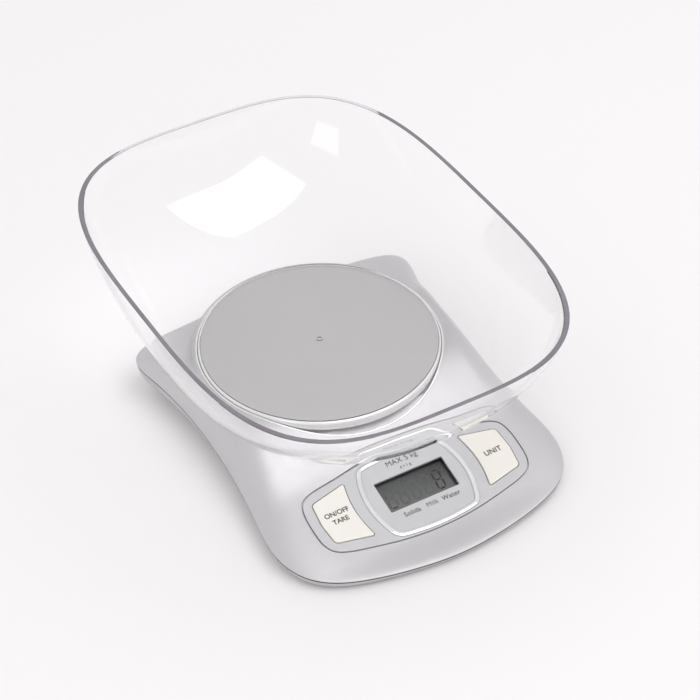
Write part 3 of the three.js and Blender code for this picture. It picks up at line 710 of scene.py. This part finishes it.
def undercut(y):
    """How far the lower housing draws in below the seam: little at the front, much at the back."""
    return 0.8 + 19.2 * smooth(y, -140, -40)


def lower_ring(inset, share, height):
    """A ring of the lower housing; `share` draws it in by that part of the undercut."""
    ring = []
    for point, normal in zip(FOOTPRINT, INWARD):
        p = point + normal * inset + towards_spine(point) * undercut(point.y) * share
        ring.append((p.x, p.y, height(p.y)))
    return ring


def height_below_seam(y, floor_z, rise):
    """Height at a share `rise` of the way from the floor to just under the seam."""
    return floor_z + (seam_z(y) - GAP_BELOW_SEAM - floor_z) * rise


def lower_rings(inset, floor_z, steps):
    """Rings of the lower housing from its floor, round the corner and up to the seam."""
    rings = []
    for k in range(steps + 1):
        a = math.pi / 2 * k / steps
        share = 1 - math.sin(a) ** 1.1
        rise = 1 - math.cos(a) ** 0.9
        rings.append(lower_ring(inset, share, partial(height_below_seam, floor_z=floor_z, rise=rise)))
    return rings


COMPARTMENT_X = (22.2, 45.8)
COMPARTMENT_Y = (-26, 26)
COMPARTMENT_TOP = 15.6
DOOR_X = (20.3, 47.7)
DOOR_Y = (-33.7, 31.7)
DOOR_TRAVEL = 14
DOOR_TOP = 3.9
CELL_SCREWS_Y = (-36, -27)
HOUSING_SCREWS = [(-57, -68), (57, -68), (-54, 10), (54, 10), (0, 47)]
FEET = [(-58, -116), (58, -116), (-55.5, 34), (55.5, 34)]


def widened(limits, by):
    return limits[0] - by, limits[1] + by


def joined(obj, *others):
    for other in others:
        modified(obj, "BOOLEAN", operation="UNION", object=other, solver="EXACT")
        bpy.data.objects.remove(other)
    return obj


def lower_housing():
    """The pan under the base, with its battery well, door recess, screw wells and foot seats."""
    pan = shell_loft(
        "lower_housing_pan",
        list(reversed(lower_rings(0.5, FLOOR_BOTTOM, 12))),
        list(reversed(lower_rings(2.4, FLOOR_TOP, 8))),
    )
    pan.data.flip_normals()
    recess_y = (DOOR_Y[0] - 0.3, DOOR_Y[1] + DOOR_TRAVEL + 0.3)
    joined(
        pan,
        box_body("recess_wall", widened(DOOR_X, 2), widened(recess_y, 2),
                 (FLOOR_BOTTOM + 0.01, 5.8), as_placed),
        box_body("well_wall", widened(COMPARTMENT_X, 1.6), widened(COMPARTMENT_Y, 1.6),
                 (FLOOR_BOTTOM + 0.02, COMPARTMENT_TOP + 1.6), as_placed),
        box_body("cell_seat", (-9, 9), (-41, -21), (FLOOR_BOTTOM + 0.03, 8.5), as_placed),
        box_body("stop_seat", (-9, 9), (30, 38), (FLOOR_BOTTOM + 0.03, 7.6), as_placed),
    )
    carve(
        pan,
        box_body("recess", widened(DOOR_X, 0.3), recess_y, (0, DOOR_TOP + 0.3), as_placed),
        box_body("well", COMPARTMENT_X, COMPARTMENT_Y, (0, COMPARTMENT_TOP), as_placed),
        *[post("cell_head", 0, y, 4.2, 0, 5.9) for y in CELL_SCREWS_Y],
        *[post("cell_shank", 0, y, 2.2, 0, 12) for y in CELL_SCREWS_Y],
        *[post("head", x, y, 3.5, 0, 3.8) for x, y in HOUSING_SCREWS],
        *[post("shank", x, y, 1.8, 0, 6) for x, y in HOUSING_SCREWS],
        *[post("seat", x, y, 6.3, 0, 3.3) for x, y in FEET],
    )
    shade(pan, 35)
    return finish_piece(pan, "base", "grey_plastic", "lower_housing")


def seam_painted_shade():
    """A black band standing in for the shade in the narrow gap between the two housings: painted shade."""
    low, high = 0.03 - GAP_BELOW_SEAM, GAP_ABOVE_SEAM - 0.03
    levels = ((0.12, low), (0.12, high), (1.6, high), (1.6, low))
    rings = []
    for inset, up in levels:
        rings.append([(x, y, z + up) for x, y, z in lower_ring(inset, 0, seam_z)])
    return finish_piece(ring_loft("seam_painted_shade", rings), "base", "black_plastic")


# ---- Platform and bowl ----
def platform():
    """The disc, with a skirt round it and a rounded edge whose lighter paint is a painted highlight."""
    r, top, low = PLATFORM_RADIUS + 0.3, PLATFORM_TOP, PLATFORM_BOTTOM
    skirt, thickness, edge = 1.6, 2.9, 1.3
    under = top - thickness
    profile = [(0, under), (r - skirt, under), (r - skirt, low), (r - 0.25, low), (r, low + 0.25)]
    for k in range(11):
        a = math.pi / 2 * k / 10
        profile.append((r - edge + edge * math.cos(a), top - edge + edge * math.sin(a)))
    profile += [(r * 0.9, top), (r * 0.6, top), (r * 0.3, top), (0, top)]
    disc = turned("weighing_platform_disc", profile, 224)
    shade(disc, 50)
    finish_piece(disc, "weighing_platform", "platform_paint", "platform")
    # the rounded edge gets the lighter paint, a painted highlight
    disc.data.materials.append(POLISHED_EDGE_PAINTED_HIGHLIGHT)
    for polygon in disc.data.polygons:
        centre = polygon.center - to_world((0, 0, 0))
        if math.hypot(centre.x, centre.y) > (r - edge * 1.02) * MM:
            polygon.material_index = 1
    return disc


def bowl_spread(t):
    return (1 - (1 - t) ** 1.81) ** (1 / 1.97)


def bowl_ring(t, foot_radius, floor_z, wall, count=224):
    spread = bowl_spread(t)
    a = foot_radius + (BOWL_HALF_WIDTH - wall - foot_radius) * spread
    b = foot_radius + (BOWL_HALF_LENGTH - wall - foot_radius) * spread
    power = 2 + (RIM_SQUARENESS - 2) * t**1.17
    z = floor_z + (RIM_Z - floor_z) * t
    ring = []
    for i in range(count):
        angle = 2 * math.pi * i / count
        c, s = math.cos(angle), math.sin(angle)
        radius = (abs(c / a) ** power + abs(s / b) ** power) ** (-1 / power)
        ring.append((radius * c, radius * s, z))
    return ring


def circle(radius, z, count=224):
    angles = [2 * math.pi * i / count for i in range(count)]
    return [(radius * math.cos(a), radius * math.sin(a), z) for a in angles]


def bowl_upper_rings(foot_z):
    """Rings from the foot up the outer wall, over the rim, down the inner wall and in to the gate mark."""
    levels = [t for t in ((k / 40) ** 1.6 for k in range(41)) if t < 0.988]
    outside = [bowl_ring(t, BOWL_FOOT_RADIUS, foot_z, 0) for t in levels]
    inside = [bowl_ring(t, BOWL_FLOOR_RADIUS, BOWL_FLOOR_Z, RIM_THICKNESS) for t in reversed(levels)]
    rim = []
    for k in range(5):
        a = math.pi * k / 4
        ring = bowl_ring(1, BOWL_FOOT_RADIUS, foot_z, RIM_THICKNESS / 2 * (1 - math.cos(a)))
        rim.append([(x, y, RIM_Z - 0.45 + 0.45 * math.sin(a)) for x, y, _ in ring])
    gate_mark = ((2, 0), (1.7, 0.3), (1.2, 0.3), (0.9, 0))
    floor_steps = ((60, 0), (45, 0), (30, 0), (15, 0), *gate_mark)
    inner_floor = [circle(r, BOWL_FLOOR_Z + up) for r, up in floor_steps]
    foot = [circle(BOWL_FOOT_RADIUS - 2.4, foot_z)]
    return foot + outside + rim + inside + inner_floor


def paint_rim_tint_and_shade(clear):
    """Gives the rim's flat top and its two edges their own tints: the plastic's violet, with painted light
    on the top and painted shade on the edges.
    """
    clear.data.materials.append(RIM_TINT_AND_PAINTED_SHADE)
    clear.data.materials.append(RIM_EDGE_TINT_AND_PAINTED_SHADE)
    for polygon in clear.data.polygons:
        depth = RIM_Z - polygon.center.z / MM
        if depth < 0.5:
            polygon.material_index = 1 if depth < 0.15 else 2


def bowl():
    """A clear shell with a rounded rim, a flat floor and a low foot ring."""
    foot_z = PLATFORM_TOP + 0.3
    under_z = foot_z + 0.6
    rings = bowl_upper_rings(foot_z)
    under = [circle(r, under_z) for r in (2, 15, 30, 45, 60, BOWL_FOOT_RADIUS - 2.6)]
    count = len(under[0])
    points = [p for ring in rings + under for p in ring]
    start = len(rings) * count
    faces = ring_faces(len(rings), count)
    faces += [tuple(v + start for v in face) for face in ring_faces(len(under), count)]
    # the underside's outermost ring meets the foot
    under_last = start + (len(under) - 1) * count
    for i in range(count):
        j = (i + 1) % count
        faces.append((under_last + i, under_last + j, j, i))
    # both middles close with a fan
    inner_last = start - count
    centre = len(points)
    points += [(0, 0, BOWL_FLOOR_Z), (0, 0, under_z)]
    for i in range(count):
        j = (i + 1) % count
        faces.append((centre, inner_last + i, inner_last + j))
        faces.append((centre + 1, start + j, start + i))
    clear = mesh_object("clear_bowl", points, faces)
    shade(clear, 40)
    finish_piece(clear, "bowl", "clear_plastic", "bowl")
    # the rim gets its violet tint with painted light on top and painted shade on its edges
    paint_rim_tint_and_shade(clear)
    return clear


# ---- Control panel ----
def control_panel():
    """The panel's plate, with a groove for the trim and holes for the display and the keys."""
    levels = [(0, -PANEL_THICKNESS), (0, -0.15)]
    for a in (0.4, 0.8, 1.2, math.pi / 2):
        levels.append((-0.35 * (1 - math.cos(a)), -0.15 + 0.35 * math.sin(a)))
    panel = rounded_plate("control_panel_face", PANEL_RING, levels)
    groove = ring_loft("groove", [
        on_panel([(p.x, p.y, z) for p in grown(TRIM_RING, g)])
        for g, z in ((0.12, -0.55), (0.12, 2), (-TRIM_WIDTH - 0.12, 2), (-TRIM_WIDTH - 0.12, -0.55))
    ])
    carve(
        panel,
        groove,
        plate("window_hole", window_ring(), -5, 2),
        plate("left_hole", button_ring(-1, 0.55), -5, 2),
        plate("right_hole", button_ring(1, 0.55), -5, 2),
    )
    shade(panel, 30)
    modified(panel, "WEIGHTED_NORMAL", keep_sharp=True)
    return finish_piece(panel, "base", "silver_panel", "control_panel")


def display_trim():
    """The bright frame round the display: a low rounded band."""
    profile = [(0, -0.4), (0, 0.35)]
    for k in range(1, 8):
        a = math.pi * k / 8
        profile.append((-TRIM_WIDTH * (1 - math.cos(a)) / 2, 0.35 + 0.6 * math.sin(a)))
    profile += [(-TRIM_WIDTH, 0.35), (-TRIM_WIDTH, -0.4)]
    rings = [on_panel([(p.x, p.y, z) for p in grown(TRIM_RING, g)]) for g, z in profile]
    trim = ring_loft("display_trim_band", rings)
    shade(trim, 50)
    return finish_piece(trim, "base", "chrome_trim", "display_trim")


def key_cap(name, side, body, node):
    """A key: a softly domed cap on straight sides, with a flange under the panel."""
    levels = [(1.0, -2.3), (1.0, -1.5), (0, -1.5), (0, 0.45)]
    for k in range(1, 7):
        a = math.pi / 2 * k / 6
        levels.append((-0.6 * (1 - math.cos(a)), 0.45 + 0.42 * math.sin(a)))
    cap = capped_loft(name, [on_panel([(p.x, p.y, z) for p in button_ring(side, g)]) for g, z in levels])
    shade(cap, 50)
    modified(cap, "WEIGHTED_NORMAL", keep_sharp=True)
    return finish_piece(cap, body, "button_plastic", node)


def lettering(name, words, x, y, height, body, z, spacing=1.0, bold=0.09):
    """Printed letters: flat outlines parallel to the panel, `z` above its plane."""
    curve = bpy.data.curves.new(name, "FONT")
    curve.body = words
    curve.size = height
    curve.align_x = "CENTER"
    curve.align_y = "CENTER"
    curve.space_character = spacing
    curve.offset = bold
    text = bpy.data.objects.new(name, curve)
    bpy.context.scene.collection.objects.link(text)
    graph = bpy.context.evaluated_depsgraph_get()
    graph.update()
    mesh = bpy.data.meshes.new_from_object(text.evaluated_get(graph))
    bpy.data.objects.remove(text)
    for vertex in mesh.vertices:
        vertex.co = to_world(PANEL_FRAME @ (Vector((x, y, z)) + vertex.co))
    mesh.update()
    made = bpy.data.objects.new(name, mesh)
    bpy.context.scene.collection.objects.link(made)
    return finish_piece(made, body, "black_plastic", material=INK)


def printing():
    lettering("print_power_1", "ON/OFF", -47.2, 2.4, 3.9, "power_key", 0.9)
    lettering("print_power_2", "TARE", -47.2, -2.4, 3.9, "power_key", 0.9)
    lettering("print_unit", "UNIT", 47.6, 0.2, 4.3, "unit_key", 0.9, 1.05)
    lettering("print_solid", "Solids", -10.6, -13.9, 3.9, "base", 0.235, 1.08, 0.04)
    lettering("print_milk", "Milk", 1.6, -13.7, 3.9, "base", 0.235, 1.08, 0)
    lettering("print_water", "Water", 13.1, -13.7, 3.9, "base", 0.235, 1.08, 0.04)
    lettering("print_capacity", "MAX 5 kg", 0.5, 17.2, 4.6, "base", 0.235, 1.0, 0)
    lettering("print_division", "d = 1 g", 0.5, 12.9, 2.2, "base", 0.235, 1.05, 0.05)


SEGMENTS = {
    "top": ((-1, 1), (1, 1)), "middle": ((-1, 0), (1, 0)), "bottom": ((-1, -1), (1, -1)),
    "left_high": ((-1, 0), (-1, 1)), "left_low": ((-1, -1), (-1, 0)),
    "right_high": ((1, 0), (1, 1)), "right_low": ((1, -1), (1, 0)),
}


def digit(name, x, y, material, thickness=0.95, half_width=2.1, half_height=5.6, gap=0.35):
    """One seven-segment figure on the display's glass, slightly slanted."""
    points = []
    faces = []
    for start, end in SEGMENTS.values():
        a = Vector((start[0] * half_width, start[1] * half_height))
        b = Vector((end[0] * half_width, end[1] * half_height))
        along = (b - a).normalized()
        across = Vector((-along.y, along.x)) * thickness / 2
        a += along * gap
        b -= along * gap
        tip = along * thickness / 2
        outline = [a, a + tip + across, b - tip + across, b, b - tip - across, a + tip - across]
        faces.append(tuple(reversed(range(len(points), len(points) + 6))))
        points += [(x + p.x + 0.08 * p.y, y + p.y, LCD_TOP + 0.02) for p in outline]
    made = mesh_object(name, on_panel(points), faces)
    return finish_piece(made, "base", "black_plastic", material=material)


def display_figures():
    for i in range(5):
        lit = i == 4
        digit(f"display_digit_{i + 1}", -15.6 + 7.3 * i, -0.6, LCD_INK if lit else LCD_GHOST)


# ---- Studio ----
CAMERA = {
    "target": (20.59, -56.75, BOWL_FLOOR_Z),
    "azimuth": -31.05,
    "elevation": 42.13,
    "distance": 1200.0,
    "lens": 115.37,
    "shift": (-0.0789, 0.05),
}


def camera():
    data = bpy.data.cameras.new("camera")
    data.lens = CAMERA["lens"]
    data.sensor_width = 36
    data.shift_x, data.shift_y = CAMERA["shift"]
    data.clip_start = 0.05
    made = bpy.data.objects.new("camera", data)
    bpy.context.scene.collection.objects.link(made)
    azimuth, elevation = (math.radians(CAMERA[k]) for k in ("azimuth", "elevation"))
    back = Vector((
        math.sin(azimuth) * math.cos(elevation),
        -math.cos(azimuth) * math.cos(elevation),
        math.sin(elevation),
    ))
    made.location = to_world(CAMERA["target"]) + back * CAMERA["distance"] * MM
    made.rotation_euler = back.to_track_quat("Z", "Y").to_euler()
    bpy.context.scene.camera = made


def floor():
    mesh = bpy.data.meshes.new("floor")
    half = 6.0
    corners = [(-half, -half, 0), (half, -half, 0), (half, half, 0), (-half, half, 0)]
    mesh.from_pydata(corners, [], [(0, 1, 2, 3)])
    made = bpy.data.objects.new("floor", mesh)
    bpy.context.scene.collection.objects.link(made)
    m = Nodes("floor", (0.89, 0.88, 0.885), 0.7, Specular_IOR_Level=0.0)
    m.vary_roughness(m.noise(30, 2), 0.66, 0.74)
    mesh.materials.append(m.material)


def area_light(name, place, aim, size, power, color=(1, 1, 1)):
    data = bpy.data.lights.new(name, "AREA")
    data.shape = "RECTANGLE"
    data.size, data.size_y = size
    data.energy = power
    data.color = color
    made = bpy.data.objects.new(name, data)
    bpy.context.scene.collection.objects.link(made)
    made.location = place
    made.rotation_euler = (Vector(place) - Vector(aim)).to_track_quat("Z", "Y").to_euler()
    return made


def studio():
    world = bpy.data.worlds.new("studio")
    bpy.context.scene.world = world
    world.use_nodes = True
    background = world.node_tree.nodes["Background"]
    background.inputs["Color"].default_value = (1, 0.99, 0.995, 1)
    background.inputs["Strength"].default_value = 0.85
    area_light("softbox", (0.4, -0.75, 1.8), (0, -0.05, 0.03), (1.6, 1.5), 11)
    area_light("window", (-1.5, -0.9, 1.2), (0, 0, 0.05), (0.8, 0.7), 2)
    bpy.context.scene.view_settings.view_transform = "Standard"


# ---- Assembly ----
upper_housing()
lower_housing()
# a black band as painted shade along the seam
seam_painted_shade()
platform_collar()
well_edge()
platform()
bowl()
control_panel()
display_trim()
key_cap("power_key_cap", -1, "power_key", "power_button")
key_cap("unit_key_cap", 1, "unit_key", "unit_button")
printing()
display_figures()

SLOT_OF = {part["node"]: part["material_slot"] for part in frame["record"]["subparts"]}
for node, obj in frame["nodes"].items():
    obj.data.materials.clear()
    obj.data.materials.append(MATERIALS[SLOT_OF[node]])

camera()
floor()
studio()
